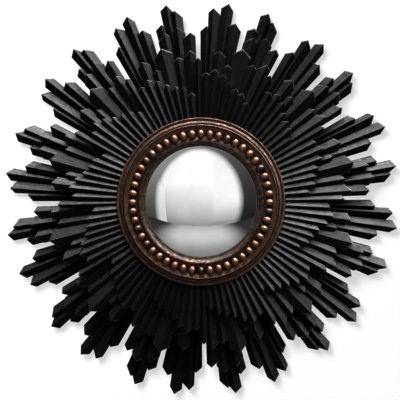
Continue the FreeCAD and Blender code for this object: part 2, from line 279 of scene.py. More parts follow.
def makeEbonisedWood(name, dark, pale, wearAndHighlight):
    # black stain waxed to a satin: lost in the shade, mottled grey where light skims a slope
    # real grain is finer than a pixel here, so it is drawn 3 to 6 mm wide
    material, tree, shader, place = startMaterial(name)
    stretched = addNode(tree, "Mapping", {
        "Vector": alongRays(tree, place), "Scale": (1, 0.1, 1)})
    grain = addNode(tree, "TexNoise", {
        "Vector": stretched, "Scale": 1 / (4.5 * mm), "Detail": 3.0, "Roughness": 0.7})
    fleck = addNode(tree, "TexNoise", {
        "Vector": place, "Scale": 1 / (6 * mm), "Detail": 4.0, "Roughness": 0.8})
    cloud = addNode(tree, "TexNoise", {"Vector": place, "Scale": 1 / (45 * mm), "Detail": 3.0})
    tone = addNode(tree, "Attribute", {}, "Fac", attribute_name="rayTone")
    mottle = addNode(tree, "Mix", {0: 0.55, 2: grain, 3: fleck})
    lift = addNode(tree, "Math", {0: tone, 1: 0.12, 2: mottle}, operation="MULTIPLY_ADD")
    colour = addNode(tree, "ValToRGB", {"Fac": lift}, stops=(
        (0.48, dark), (0.58, pale), (0.66, wearAndHighlight)))
    speck = addNode(tree, "TexNoise", {
        "Vector": place, "Scale": 1 / (2.6 * mm), "Detail": 2.0, "Roughness": 0.7})
    sheen = addNode(tree, "Mix", {0: 0.3, 2: lift, 3: cloud})
    sheen = addNode(tree, "Mix", {0: 0.4, 2: sheen, 3: speck})
    satin = addNode(tree, "MapRange", {
        "Value": sheen, "From Min": 0.46, "From Max": 0.58, "To Min": 0.56, "To Max": 0.34})
    height = addNode(tree, "Mix", {0: 0.3, 2: mottle, 3: speck})
    bump = addNode(tree, "Bump", {"Height": height, "Distance": 2.4 * mm, "Strength": 0.7})
    setInputs(tree, shader, {
        "Base Color": colour, "Roughness": satin, "Specular IOR Level": 0.16, "Normal": bump})
    return material


def makeAntiqueCopper(name, dullest, brightest):
    # copper leaf under brown wax: pinkish metal on the crests, near-black brown in the quirks; the rub that
    # sets this is partly wear, partly painted shade in the quirks and painted light on bands that lie in
    # shade
    material, tree, shader, place = startMaterial(name)
    rubAndShade = addNode(tree, "Attribute", {}, "Fac", attribute_name="rubAndShade")
    patch = addNode(tree, "TexNoise", {
        "Vector": place, "Scale": 1 / (10 * mm), "Detail": 4.0, "Roughness": 0.65})
    # the wax's real grit is finer than a pixel here, so it is drawn 4 mm wide
    grit = addNode(tree, "TexNoise", {
        "Vector": place, "Scale": 1 / (4 * mm), "Detail": 2.0, "Roughness": 0.65})
    broad = addNode(tree, "TexNoise", {"Vector": place, "Scale": 1 / (45 * mm)})
    wearAndShade = addNode(tree, "Math", {0: patch, 1: 1.3, 2: rubAndShade}, operation="MULTIPLY_ADD")
    wearAndShade = addNode(tree, "Math", {0: grit, 1: 2.2, 2: wearAndShade}, operation="MULTIPLY_ADD")
    waxed = addNode(tree, "MapRange", {"Value": wearAndShade, "From Min": 1.25, "From Max": 2.75})
    metal = addNode(tree, "MapRange", {"Value": wearAndShade, "From Min": 2.05, "From Max": 2.9})
    wax = addNode(tree, "ValToRGB", {"Fac": waxed}, stops=(
        (0.0, "#050302"), (0.33, "#140e0b"), (0.55, "#392b22"), (0.75, "#493a31"), (0.95, "#55453c")))
    leaf = addNode(tree, "ValToRGB", {"Fac": broad}, stops=(
        (0.35, "#5d463a"), (0.5, "#6b5447"), (0.65, "#5f4d3f")))
    colour = addNode(tree, "Mix", {0: metal, 6: wax, 7: leaf}, 2, data_type="RGBA")
    metallic = addNode(tree, "Math", {0: metal, 1: 0.85}, operation="MULTIPLY")
    dull = addNode(tree, "MapRange", {
        "Value": grit, "From Min": 0.3, "From Max": 0.7, "To Min": dullest, "To Max": brightest})
    relief = addNode(tree, "Math", {0: patch, 1: grit}, operation="ADD")
    bump = addNode(tree, "Bump", {"Height": relief, "Distance": 1.1 * mm, "Strength": 0.6})
    setInputs(tree, shader, {
        "Base Color": colour, "Metallic": metallic, "Roughness": dull, "Normal": bump,
        "Specular IOR Level": 0.22})
    return material


def makeBeadCopper():
    # burnished beads, each its own tone from brown copper to old gold, dark wax and painted shade round the
    # foot
    # the wax's real grit is finer than a pixel here, so it is drawn 2.5 mm wide
    material, tree, shader, place = startMaterial("beadCopper")
    tone = addNode(tree, "Attribute", {}, "Fac", attribute_name="beadTone")
    rubAndShade = addNode(tree, "Attribute", {}, "Fac", attribute_name="rubAndShade")
    grit = addNode(tree, "TexNoise", {"Vector": place, "Scale": 1 / (2.5 * mm), "Detail": 3.0})
    patch = addNode(tree, "TexNoise", {"Vector": place, "Scale": 1 / (6 * mm), "Detail": 3.0})
    leaf = addNode(tree, "ValToRGB", {"Fac": tone}, stops=(
        (0.0, "#382d28"), (0.08, "#6b4e3e"), (0.4, "#77543d"), (0.75, "#704e34"), (1.0, "#705b3e")))
    wearAndShade = addNode(tree, "Math", {0: patch, 1: 0.8, 2: rubAndShade}, operation="MULTIPLY_ADD")
    metal = addNode(tree, "MapRange", {"Value": wearAndShade, "From Min": 0.55, "From Max": 1.1})
    wax = addNode(tree, "ValToRGB", {"Fac": grit}, stops=((0.35, "#0a0605"), (0.7, "#22150f")))
    colour = addNode(tree, "Mix", {0: metal, 6: wax, 7: leaf}, 2, data_type="RGBA")
    metallic = addNode(tree, "Math", {0: metal, 1: 0.2}, operation="MULTIPLY")
    burnish = addNode(tree, "MapRange", {
        "Value": grit, "From Min": 0.3, "From Max": 0.7, "To Min": 0.5, "To Max": 0.38})
    bump = addNode(tree, "Bump", {"Height": patch, "Distance": 0.3 * mm, "Strength": 0.2})
    setInputs(tree, shader, {
        "Base Color": colour, "Metallic": metallic, "Roughness": burnish, "Normal": bump,
        "Specular IOR Level": 0.34})
    return material


def makeSilveredGlass():
    # bright silvering seen through clear glass, with the faintest old bloom
    material, tree, shader, place = startMaterial("silveredGlass")
    bloom = addNode(tree, "TexNoise", {"Vector": place, "Scale": 1 / (40 * mm), "Detail": 4.0})
    colour = addNode(tree, "ValToRGB", {"Fac": bloom}, stops=((0.3, "#eeefee"), (0.7, "#f6f7f6")))
    polish = addNode(tree, "MapRange", {
        "Value": bloom, "From Min": 0.3, "From Max": 0.7, "To Min": 0.012, "To Max": 0.03})
    setInputs(tree, shader, {"Base Color": colour, "Metallic": 1.0, "Roughness": polish})
    return material


def makeSilveringPaint():
    # grey protective paint over the silvering, brushed on
    material, tree, shader, place = startMaterial("silveringPaint")
    strokes = addNode(tree, "Mapping", {"Vector": place, "Scale": (1, 1, 0.1)})
    brush = addNode(tree, "TexNoise", {
        "Vector": strokes, "Scale": 1 / (3 * mm), "Detail": 4.0, "Roughness": 0.6})
    colour = addNode(tree, "ValToRGB", {"Fac": brush}, stops=((0.35, "#5a5b5c"), (0.65, "#73706c")))
    dull = addNode(tree, "MapRange", {
        "Value": brush, "From Min": 0.3, "From Max": 0.7, "To Min": 0.6, "To Max": 0.45})
    setInputs(tree, shader, {"Base Color": colour, "Roughness": dull})
    return material


def makeBoardWood(name, dark, mid, pale, length):
    # flat-sawn board: long grain lines, darker pores, dull finish
    material, tree, shader, place = startMaterial(name)
    long = addNode(tree, "Mapping", {"Vector": place, "Scale": (1, 1, length)})
    sweep = addNode(tree, "TexNoise", {"Vector": long, "Scale": 1 / (40 * mm)})
    lines = addNode(tree, "TexNoise", {
        "Vector": long, "Scale": 1 / (2.5 * mm), "Detail": 6.0, "Roughness": 0.6})
    # real pores are finer than a pixel here, so they are drawn 3 mm wide
    pores = addNode(tree, "TexNoise", {"Vector": long, "Scale": 1 / (3 * mm), "Roughness": 0.6})
    figure = addNode(tree, "Mix", {0: 0.4, 2: lines, 3: sweep})
    base = addNode(tree, "ValToRGB", {"Fac": figure}, stops=(
        (0.36, dark), (0.5, mid), (0.66, pale)))
    shade = addNode(tree, "ValToRGB", {"Fac": pores}, stops=((0.3, "#c4c4c4"), (0.5, "#ffffff")))
    colour = addNode(tree, "Mix", {
        0: 1.0, 6: base, 7: shade}, 2, data_type="RGBA", blend_type="MULTIPLY")
    dull = addNode(tree, "MapRange", {
        "Value": lines, "From Min": 0.3, "From Max": 0.7, "To Min": 0.75, "To Max": 0.55})
    bump = addNode(tree, "Bump", {"Height": lines, "Distance": 0.4 * mm, "Strength": 0.3})
    setInputs(tree, shader, {"Base Color": colour, "Roughness": dull, "Normal": bump})
    return material


def makeHardboard():
    # pressed brown fibre: fine flecks all ways, slightly glazed
    # real fibres are finer than a pixel here, so they are drawn 3.5 mm wide
    material, tree, shader, place = startMaterial("hardboard")
    upright = addNode(tree, "Mapping", {"Vector": place, "Scale": (1, 1, 0.3)})
    level = addNode(tree, "Mapping", {"Vector": place, "Scale": (0.3, 1, 1)})
    fibreUp = addNode(tree, "TexNoise", {
        "Vector": upright, "Scale": 1 / (3.5 * mm), "Detail": 4.0, "Roughness": 0.7})
    fibreAcross = addNode(tree, "TexNoise", {
        "Vector": level, "Scale": 1 / (3.5 * mm), "Detail": 4.0, "Roughness": 0.7})
    mat = addNode(tree, "Mix", {0: 0.5, 2: fibreUp, 3: fibreAcross})
    blotch = addNode(tree, "TexNoise", {"Vector": place, "Scale": 1 / (35 * mm), "Detail": 3.0})
    base = addNode(tree, "ValToRGB", {"Fac": mat}, stops=(
        (0.38, "#453223"), (0.5, "#5f4835"), (0.64, "#7a624b")))
    age = addNode(tree, "ValToRGB", {"Fac": blotch}, stops=((0.3, "#d6cdc4"), (0.7, "#ffffff")))
    colour = addNode(tree, "Mix", {
        0: 1.0, 6: base, 7: age}, 2, data_type="RGBA", blend_type="MULTIPLY")
    glaze = addNode(tree, "MapRange", {
        "Value": mat, "From Min": 0.35, "From Max": 0.65, "To Min": 0.5, "To Max": 0.72})
    bump = addNode(tree, "Bump", {"Height": mat, "Distance": 0.25 * mm, "Strength": 0.4})
    setInputs(tree, shader, {"Base Color": colour, "Roughness": glaze, "Normal": bump})
    return material


def makeZincSteel():
    # bright zinc plate: cool grey metal with a faint spangle and fine scratches
    # real scratches are finer than a pixel here, so they are drawn 2 mm wide
    material, tree, shader, place = startMaterial("zincSteel")
    spangle = addNode(tree, "TexNoise", {"Vector": place, "Scale": 1 / (3 * mm)})
    drawn = addNode(tree, "Mapping", {"Vector": place, "Scale": (0.08, 1, 1)})
    scratch = addNode(tree, "TexNoise", {"Vector": drawn, "Scale": 1 / (2 * mm), "Roughness": 0.6})
    colour = addNode(tree, "ValToRGB", {"Fac": spangle}, stops=(
        (0.35, "#8f959a"), (0.6, "#b4b9bc"), (0.75, "#a9a48f")))
    polish = addNode(tree, "MapRange", {
        "Value": scratch, "From Min": 0.3, "From Max": 0.7, "To Min": 0.28, "To Max": 0.46})
    bump = addNode(tree, "Bump", {"Height": scratch, "Distance": 0.12 * mm, "Strength": 0.3})
    setInputs(tree, shader, {"Base Color": colour, "Metallic": 1.0, "Roughness": polish, "Normal": bump})
    return material


def makeRubber():
    # moulded rubber pad: dull charcoal with a fine even grain, drawn 2.5 mm wide so that it shows
    material, tree, shader, place = startMaterial("rubberPad")
    grain = addNode(tree, "TexNoise", {"Vector": place, "Scale": 1 / (2.5 * mm)})
    dust = addNode(tree, "TexNoise", {
        "Vector": place, "Scale": 1 / (6 * mm), "Detail": 4.0, "Roughness": 0.6})
    colour = addNode(tree, "ValToRGB", {"Fac": dust}, stops=(
        (0.35, "#1f2021"), (0.6, "#2b2c2d"), (0.75, "#46443f")))
    dull = addNode(tree, "MapRange", {
        "Value": grain, "From Min": 0.3, "From Max": 0.7, "To Min": 0.7, "To Max": 0.85})
    bump = addNode(tree, "Bump", {"Height": grain, "Distance": 0.3 * mm, "Strength": 0.5})
    setInputs(tree, shader, {"Base Color": colour, "Roughness": dull, "Normal": bump})
    return material


def makeSoftSeat(name, dark, pale, size):
    # felt and foam: fuzzy, no gloss, the fuzz drawn coarser than real so that it shows
    material, tree, shader, place = startMaterial(name)
    fuzz = addNode(tree, "TexNoise", {
        "Vector": place, "Scale": 1 / size, "Detail": 4.0, "Roughness": 0.7})
    colour = addNode(tree, "ValToRGB", {"Fac": fuzz}, stops=((0.35, dark), (0.65, pale)))
    bump = addNode(tree, "Bump", {"Height": fuzz, "Distance": 0.4 * mm, "Strength": 0.6})
    setInputs(tree, shader, {"Base Color": colour, "Roughness": 0.95, "Normal": bump})
    return material


ebonisedWood = makeEbonisedWood("ebonisedWood", "#030304", "#080809", "#18181a")
# pale grey for the gable-end arrises: partly wear, partly a painted highlight
gableWearAndHighlight = makeEbonisedWood("gableWearAndHighlight", "#303031", "#606061", "#878788")
antiqueCopper = makeAntiqueCopper("antiqueCopper", 0.72, 0.52)
rubbedCopper = makeAntiqueCopper("rubbedCopper", 0.52, 0.36)
beadCopper = makeBeadCopper()
silveredGlass = makeSilveredGlass()
silveringPaint = makeSilveringPaint()
stainedBoard = makeBoardWood("stainedBoard", "#17110d", "#2a1f17", "#3b2c20", 0.04)
blackPly = makeBoardWood("blackPly", "#0f0e0d", "#1b1917", "#282420", 0.08)
hardboard = makeHardboard()
zincSteel = makeZincSteel()
rubberPad = makeRubber()
greyFelt = makeSoftSeat("greyFelt", "#3a3836", "#5b5855", 2.5 * mm)
whiteFoam = makeSoftSeat("whiteFoam", "#b9b5aa", "#dad7cd", 2 * mm)
print("materials ready:", len(bpy.data.materials))


# Rays: merged copies of the CAD rays, bevelled along every edge and most across the gable ends, whose bevels
# are painted pale: partly wear, partly a painted highlight
rayFinish = {
    "endArris": 1.2 * mm,
    "arris": 0.45 * mm,
    "tiers": (("long_ray", 7), ("third_ray", 3), ("second_ray", 5), ("front_ray", 8)),
    "seed": 11,
    "frontSlope": -0.4,  # faces whose normal has more depth than this are sides, ends or backs
    "lengthwise": 0.9,  # edges nearer than this to the ray's own line are its long edges
    "sharp": 45,
    "smooth": 20,
}


def gableEdges(piece):
    # outer end edges of the front slopes
    points = [vertex.co for vertex in piece.data.vertices]
    keys = set()
    for face in piece.data.polygons:
        if face.normal.y > rayFinish["frontSlope"]:
            continue
        for first, second in face.edge_keys:
            spot = (points[first] + points[second]) / 2
            outward = Vector((spot.x, 0, spot.z)).normalized()
            run = (points[second] - points[first]).normalized()
            isEnd = abs(run.dot(outward)) < rayFinish["lengthwise"]
            if isEnd and (spot - face.center).dot(outward) > 0:
                keys.add((first, second))
    return keys


def bevelRayEdges(kind):
    # wide arrises on the gable ends in their own pale material, partly wear and partly a painted highlight,
    # narrow ones on the other sharp edges
    ends = gableEdges(kind)
    editOnly(kind, "EDGE", lambda edge: edge.key in ends)
    bpy.ops.mesh.bevel(offset=rayFinish["endArris"], segments=1, material=1, clamp_overlap=True)
    bpy.ops.mesh.select_all(action="DESELECT")
    bpy.ops.mesh.edges_select_sharp(sharpness=math.radians(rayFinish["sharp"]))
    bpy.ops.object.mode_set(mode="OBJECT")
    sharp = {edge.key for edge in kind.data.edges if edge.select}
    wearAndHighlight = {key for face in kind.data.polygons if face.material_index == 1 for key in face.edge_keys}
    narrow = sharp - wearAndHighlight
    editOnly(kind, "EDGE", lambda edge: edge.key in narrow)
    bpy.ops.mesh.bevel(offset=rayFinish["arris"], segments=1, clamp_overlap=True)


def makeRays():
    pick = random.Random(rayFinish["seed"])
    kinds = []
    for tier, count in rayFinish["tiers"]:
        for number in range(1, count + 1):
            nodeName = tier + "_" + str(number)
            kind = cadCopy(nodeName, nodeName.replace("_", "") + "Set")
            paint(kind, ebonisedWood, gableWearAndHighlight)
            bevelRayEdges(kind)
            bpy.ops.mesh.separate(type="LOOSE")
            bpy.ops.object.mode_set(mode="OBJECT")
            copies = list(bpy.context.selected_objects)
            for copy in copies:
                markAll(copy, "rayTone", pick.random())
            joined = joinAll(copies, tier.split("_")[0] + "Rays" + str(number))
            smooth(joined, rayFinish["smooth"])
            dress(joined, "mirror", [nodeName])
            kinds.append(joined)
        print("tier done:", tier, count, "kinds of ray")
    return kinds


rays = makeRays()


# Ring: the moulding and the sight slip, turned from profiles measured in from the rim and back from the crest
moulding = {
    "steps": 240,
    "round": 0.35 * mm,
    "smooth": 50,
    # (in from the rim, back from the crest, rub), an arc where a middle point comes first; the rub is partly
    # wear and partly painted light and shade: low in the quirks and on the floor behind the beads, high on
    # bands that lie in shade
    "profile": [
        (0.0, 9.2, 0.1),
        (0.0, 7.4, 0.4),
        (0.8, 6.3, 0.7),
        (2.4, 6.2, 0.6),
        (4.9, 8.4, 0.5),
        (5.7, 8.4, -0.3),
        (7.2, 4.5, 10.2, 3.0, 0.6),
        (10.3, 3.9, -0.3),
        (11.1, 3.9, -0.3),
        (12.7, 0.6, 0.6),
        (13.0, 0.1, 13.5, 0.0, 0.8),
        (14.1, 0.3, 14.4, 1.0, 0.6),
        (14.9, 2.6, 0.3),
        (17.2, 4.0, 19.6, 4.8, 0.8),
        (21.0, 4.8, 0.45),
        (22.5, 4.8, -0.3),
        (32.5, 4.8, -0.3),
        (34.0, 4.8, 0.8),
        (35.0, 4.8, 0.8),
        (36.3, 3.65, 39.0, 0.2, 0.4),
        (40.8, 0.2, 0.4),
        (40.8, 8.6, 0.0),
        (36.8, 8.6, 0.0),
        (36.8, 10.8, 0.0),
        (28.0, 10.8, 0.0),
    ],
}
sightSlip = {
    "steps": 240,
    "round": 0.3 * mm,
    "smooth": 50,
    # (in from the flange, back from the crest, rub), the rub partly wear and partly painted light and shade
    "profile": [
        (0.0, 10.6, 0.0),
        (0.0, 8.6, 0.0),
        (4.0, 8.6, 0.0),
        (4.0, 0.6, 0.4),
        (4.2, 0.1, 4.8, 0.1, 0.36),
        (10.3, 4.9, 0.42),
        (10.3, 6.3, 0.1),
        (7.2, 8.7, 3.5, 9.9, 0.0),
        (3.5, 10.6, 0.0),
    ],
}


def ringProfile(steps, rim, crest, arcSteps=8):
    # real radii and heights, and the rub of each point, partly wear and partly painted light and shade
    points = []
    rubAndShadeValues = []
    for step in steps:
        rubAndShade = step[-1]
        pairs = zip(step[0:-1:2], step[1:-1:2])
        places = [(rim - inward * mm, crest - back * mm) for inward, back in pairs]
        if len(places) == 2:
            places = arcThrough(points[-1], places[0], places[1], arcSteps)
        points += places
        rubAndShadeValues += [rubAndShade] * len(places)
    return points, rubAndShadeValues


def paintRubAndShade(piece, points, rubAndShadeValues):
    # every vertex takes the rub, with its painted light and shade, of the nearest point of the profile
    values = []
    for vertex in piece.data.vertices:
        x, y, z = vertex.co
        radius, height = math.hypot(x, z), -y
        gaps = [(radius - r) ** 2 + (height - h) ** 2 for r, h in points]
        values.append(rubAndShadeValues[gaps.index(min(gaps))])
    markPoints(piece, "rubAndShade", values)


def makeTurned(nodeName, name, turned, material):
    low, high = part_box(nodeName)
    points, rubAndShadeValues = ringProfile(turned["profile"], high.x, -low.y)
    ring = turnRing(name, points, turned["steps"])
    roundCorners(ring, turned["round"])
    paintRubAndShade(ring, points, rubAndShadeValues)
    smooth(ring, turned["smooth"])
    paint(ring, material)
    dress(ring, "mirror", [nodeName])


makeTurned("frame_moulding", "mouldingRing", moulding, antiqueCopper)
makeTurned("sight_ring", "sightSlip", sightSlip, rubbedCopper)
print("ring turned")


# Beads: one round bead, slightly taller than wide, copied round the channel with small differences
beadRow = {
    "count": 48,
    "radius": 6.7 * mm,
    "across": 0.93,
    "along": 1.12,
    "sizeSpread": 0.05,
    # below this each bead's foot is dark: wax and painted crevice shade
    "rubAndShadeFrom": -0.25,  # parts of the radius out from the bead's middle
    "rubAndShadeTo": 0.75,
    "sides": 24,
    "rings": 14,
    "smooth": 40,
    "seed": 5,
}


def makeBeads():
    low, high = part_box("beads")
    back = -high.y
    radius = beadRow["radius"]
    circle = high.x - radius
    height = -low.y - radius
    foot = (0, -back, circle)
    clearSelection()
    bpy.ops.mesh.primitive_uv_sphere_add(
        segments=beadRow["sides"], ring_count=beadRow["rings"], radius=radius,
        location=(0, -height, circle), rotation=ontoWall,
    )
    bead = bpy.context.object
    bead.scale = (beadRow["across"], beadRow["along"], 1)
    settle(bead)
    editAll(bead)
    bpy.ops.mesh.bisect(plane_co=foot, plane_no=(0, -1, 0), use_fill=True, clear_inner=True)
    bpy.ops.object.mode_set(mode="OBJECT")
    spread = beadRow["rubAndShadeTo"] - beadRow["rubAndShadeFrom"]
    rubAndShadeValues = [((-vertex.co.y - height) / radius - beadRow["rubAndShadeFrom"]) / spread for vertex in bead.data.vertices]
    markPoints(bead, "rubAndShade", [min(1, max(0, rubAndShade)) for rubAndShade in rubAndShadeValues])
    smooth(bead, beadRow["smooth"])
    pick = random.Random(beadRow["seed"])
    beads = []
    for index in range(beadRow["count"]):
        copy = ownCopy(bead, "bead" + str(index))
        markAll(copy, "beadTone", pick.random())
        editAll(copy)
        grow = 1 - pick.random() * beadRow["sizeSpread"]
        bpy.ops.transform.resize(value=(grow, grow, grow), center_override=foot)
        bpy.ops.object.mode_set(mode="OBJECT")
        copy.rotation_euler = (0, 2 * math.pi * index / beadRow["count"], 0)
        settle(copy)
        beads.append(copy)
    bpy.data.objects.remove(bead)
    row = joinAll(beads, "beadRow")
    paint(row, beadCopper)
    dress(row, "mirror", ["beads"])


makeBeads()
print("beads set:", beadRow["count"])


# Glass: the cap of a large sphere, silvered in front and painted behind
dome = {"curve": 210 * mm, "thickness": 3 * mm, "segments": 256, "rings": 400, "smooth": 30}


def makeGlass():
    low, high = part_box("mirror_glass")
    curve = dome["curve"]
    centre = -low.y - curve
    edge = centre + math.sqrt(curve**2 - high.x**2)
    clearSelection()
    bpy.ops.mesh.primitive_uv_sphere_add(
        segments=dome["segments"], ring_count=dome["rings"], radius=curve,
        location=(0, -centre, 0), rotation=ontoWall,
    )
    glass = bpy.context.object
    glass.name = "domedGlass"
    settle(glass)
    editAll(glass)
    bpy.ops.mesh.bisect(plane_co=(0, -edge, 0), plane_no=(0, 1, 0), clear_outer=True)
    bpy.ops.object.mode_set(mode="OBJECT")
    paint(glass, silveredGlass, silveringPaint)
    finishWith(
        glass, "SOLIDIFY", thickness=dome["thickness"], offset=-1,
        material_offset=1, material_offset_rim=1, use_even_offset=True,
    )
    smooth(glass, dome["smooth"])
    dress(glass, "mirror", ["mirror_glass"])


makeGlass()
print("glass domed")


# Board: a coned ring with a recess for the cover and sinks for the frame screws
boardRing = {
    "steps": 160,
    "round": 0.8 * mm,
    "recess": 3.2 * mm,
    "recessGap": 0.2 * mm,
    "ledge": 12 * mm,
    "cone": 0.04,  # fall of the front for each unit of radius
    "screwsIn": 6 * mm,  # from the core ring's rim
    "sinkRadius": 4 * mm,
    "sinkDepth": 3 * mm,
    "sinkSides": 32,
    "smooth": 40,
}


def makeBoard():
    low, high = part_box("backing_board")
    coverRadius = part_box("rear_cover")[1].x
    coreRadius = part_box("core_ring")[1].x
    back = -high.y
    front = -low.y
    outer = high.x
    lean = boardRing["cone"] * (outer - coreRadius)
    recess = coverRadius + boardRing["recessGap"]
    inner = coverRadius - boardRing["ledge"]
    ring = turnRing("boardRing", [
        (inner, back + boardRing["recess"]),
        (recess, back + boardRing["recess"]),
        (recess, back),
        (outer, back),
        (outer, front - lean),
        (coreRadius, front),
        (inner, front),
    ], boardRing["steps"])
    roundCorners(ring, boardRing["round"])
    for angle in diagonals:
        place = spotAt(angle, coreRadius - boardRing["screwsIn"], back)
        depth = 2 * boardRing["sinkDepth"]  # half of the drill stands clear of the board
        cutOut(ring, addDisc("drill", boardRing["sinkSides"], boardRing["sinkRadius"], depth, place))
    smooth(ring, boardRing["smooth"])
    paint(ring, stainedBoard)
    dress(ring, "mirror", ["backing_board"])


# Cover: a hardboard disc with eased edges
coverDisc = {"sides": 128, "round": 0.6 * mm, "smooth": 40}


def makeCover():
    low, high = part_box("rear_cover")
    middle = (0, (low.y + high.y) / 2, 0)
    cover = addDisc("rearCover", coverDisc["sides"], high.x, high.y - low.y, middle)
    roundCorners(cover, coverDisc["round"])
    smooth(cover, coverDisc["smooth"])
    paint(cover, hardboard)
    dress(cover, "mirror", ["rear_cover"])


# Screws: pan heads with a cross, each turned as a hand would leave it
screwForm = {
    "sides": 32,
    "round": 0.45,  # of the head's height
    "tip": 0.2,  # of the shank's length
    "tipWidth": 0.3,  # of the shank's width
    "cross": 0.6,  # of the head's width
    "slot": 0.16,
    "crossDepth": 0.55,  # of the head's height
    "smooth": 35,
}
screwKinds = {
    "cover_screws": {
        "name": "coverScrew", "head": 3 * mm, "height": 1.8 * mm, "shank": 1.5 * mm,
        "around": quarters, "turns": (12, 55, -20, 33)},
    "frame_screws": {
        "name": "frameScrew", "head": 3.8 * mm, "height": 2.2 * mm, "shank": 2 * mm,
        "around": diagonals, "turns": (40, 8, 62, -15)},
    "hanger_screws": {
        "name": "hangerScrew", "head": 3.2 * mm, "height": 1.6 * mm, "shank": 1.6 * mm,
        "around": (), "turns": (25, -10)},
}


def makeScrew(kind, length):
    # head at the origin facing +Y, shank towards -Y
    head, height = kind["head"], kind["height"]
    screw = addDisc(kind["name"], screwForm["sides"], head, height, (0, -height / 2, 0))
    editOnly(screw, "FACE", looksBack)
    bpy.ops.mesh.bevel(offset=height * screwForm["round"], segments=4)
    editOnly(screw, "FACE", looksFront)
    bpy.ops.mesh.inset(thickness=head - kind["shank"])
    for share in (1 - screwForm["tip"], screwForm["tip"]):
        bpy.ops.mesh.extrude_region_move(TRANSFORM_OT_translate={"value": (0, -length * share, 0)})
    bpy.ops.transform.resize(
        value=(screwForm["tipWidth"], 1, screwForm["tipWidth"]), center_override=(0, -height - length, 0)
    )
    bpy.ops.object.mode_set(mode="OBJECT")
    for turn in (0, math.pi / 2):
        clearSelection()
        bpy.ops.mesh.primitive_cube_add(size=2, location=(0, 0, 0), rotation=(0, turn, 0))
        cutter = bpy.context.object
        cutter.scale = (head * screwForm["cross"], height * screwForm["crossDepth"], head * screwForm["slot"])
        settle(cutter)
        cutOut(screw, cutter)
    smooth(screw, screwForm["smooth"])
    return screw


def makeScrews():
    for nodeName, kind in screwKinds.items():
        low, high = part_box(nodeName)
        back, head = -high.y, kind["head"]
        screw = makeScrew(kind, -low.y - back - kind["height"])
        if kind["around"]:
            furthest = max(math.sin(math.radians(angle)) for angle in kind["around"])
            places = [spotAt(angle, (high.x - head) / furthest, back) for angle in kind["around"]]
        else:
            places = [(0, -back, low.z + head), (0, -back, high.z - head)]
        copies = []
        for index, (place, turn) in enumerate(zip(places, kind["turns"])):
            copy = ownCopy(screw, kind["name"] + str(index))
            copy.location = place
            copy.rotation_euler = (0, math.radians(turn), 0)
            settle(copy)
            copies.append(copy)
        bpy.data.objects.remove(screw)
        joined = joinAll(copies, kind["name"] + "s")
        paint(joined, zincSteel)
        dress(joined, "mirror", [nodeName])


# Strap: the folded steel with its edges broken
hangerStrap = {"round": 0.25 * mm, "sharp": 0.7, "smooth": 35}


def makeHanger():
    strap = cadCopy("hanger_strap", "hangerStrap")
    roundCorners(strap, hangerStrap["round"], hangerStrap["sharp"])
    smooth(strap, hangerStrap["smooth"])
    paint(strap, zincSteel)
    dress(strap, "mirror", ["hanger_strap"])


# Wire ring: a circle drawn along straight runs and spun round the bends
wireRing = {
    "wire": 1.5 * mm,
    "sides": 16,
    "footBend": 2.4 * mm,
    "footSteps": 6,
    "topBend": 5.0 * mm,
    "topSteps": 8,
    "smooth": 60,
}


def makeHangerRing():
    low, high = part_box("hanger_ring")
    wire, footBend, topBend = wireRing["wire"], wireRing["footBend"], wireRing["topBend"]
    depth = (low.y + high.y) / 2
    foot = low.z + wire
    top = high.z - wire
    side = high.x - wire
    clearSelection()
    bpy.ops.mesh.primitive_circle_add(
        vertices=wireRing["sides"], radius=wire, location=(0, depth, foot), rotation=(0, math.pi / 2, 0)
    )
    ring = bpy.context.object
    ring.name = "hangerWireRing"
    settle(ring)
    editAll(ring)

    def run(x, z):
        bpy.ops.mesh.extrude_region_move(TRANSFORM_OT_translate={"value": (x, 0, z)})

    def bend(x, z, steps):
        bpy.ops.mesh.spin(steps=steps, angle=math.pi / 2, center=(x, depth, z), axis=(0, 1, 0))

    run(side - footBend, 0)
    bend(side - footBend, foot + footBend, wireRing["footSteps"])
    run(0, top - topBend - foot - footBend)
    bend(side - topBend, top - topBend, wireRing["topSteps"])
    run(2 * (topBend - side), 0)
    bend(topBend - side, top - topBend, wireRing["topSteps"])
    run(0, foot + footBend - top + topBend)
    bend(footBend - side, foot + footBend, wireRing["footSteps"])
    run(side - footBend, 0)
    bpy.ops.mesh.select_all(action="SELECT")
    bpy.ops.mesh.remove_doubles(threshold=mergeGap)
    bpy.ops.mesh.normals_make_consistent(inside=False)
    bpy.ops.object.mode_set(mode="OBJECT")
    smooth(ring, wireRing["smooth"])
    paint(ring, zincSteel)
    dress(ring, "hanger_ring", ["hanger_ring"])


# Pads: round, dished towards the wall
wallPad = {"sides": 48, "radius": 10 * mm, "round": 1.2 * mm, "rim": 2.5 * mm, "dish": 0.8 * mm, "smooth": 35}


def makePads():
    low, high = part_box("wall_bumpers")
    circle = (high.x - wallPad["radius"]) * math.sqrt(2)
    place = (0, (low.y + high.y) / 2, circle)
    pad = addDisc("pad", wallPad["sides"], wallPad["radius"], high.y - low.y, place)
    editOnly(pad, "FACE", looksBack)
    bpy.ops.mesh.bevel(offset=wallPad["round"], segments=4)
    editOnly(pad, "FACE", looksBack)
    bpy.ops.mesh.inset(thickness=wallPad["rim"])
    bpy.ops.mesh.extrude_region_move(TRANSFORM_OT_translate={"value": (0, -wallPad["dish"], 0)})
    bpy.ops.object.mode_set(mode="OBJECT")
    pads = []
    for index, angle in enumerate(diagonals):
        copy = ownCopy(pad, "pad" + str(index))
        copy.rotation_euler = (0, math.radians(angle), 0)
        settle(copy)
        smooth(copy, wallPad["smooth"])
        pads.append(copy)
    bpy.data.objects.remove(pad)
    joined = joinAll(pads, "wallPads")
    paint(joined, rubberPad)
    dress(joined, "mirror", ["wall_bumpers"])


makeBoard()
makeCover()
makeScrews()
makeHanger()
makeHangerRing()
makePads()
print("back fitted")


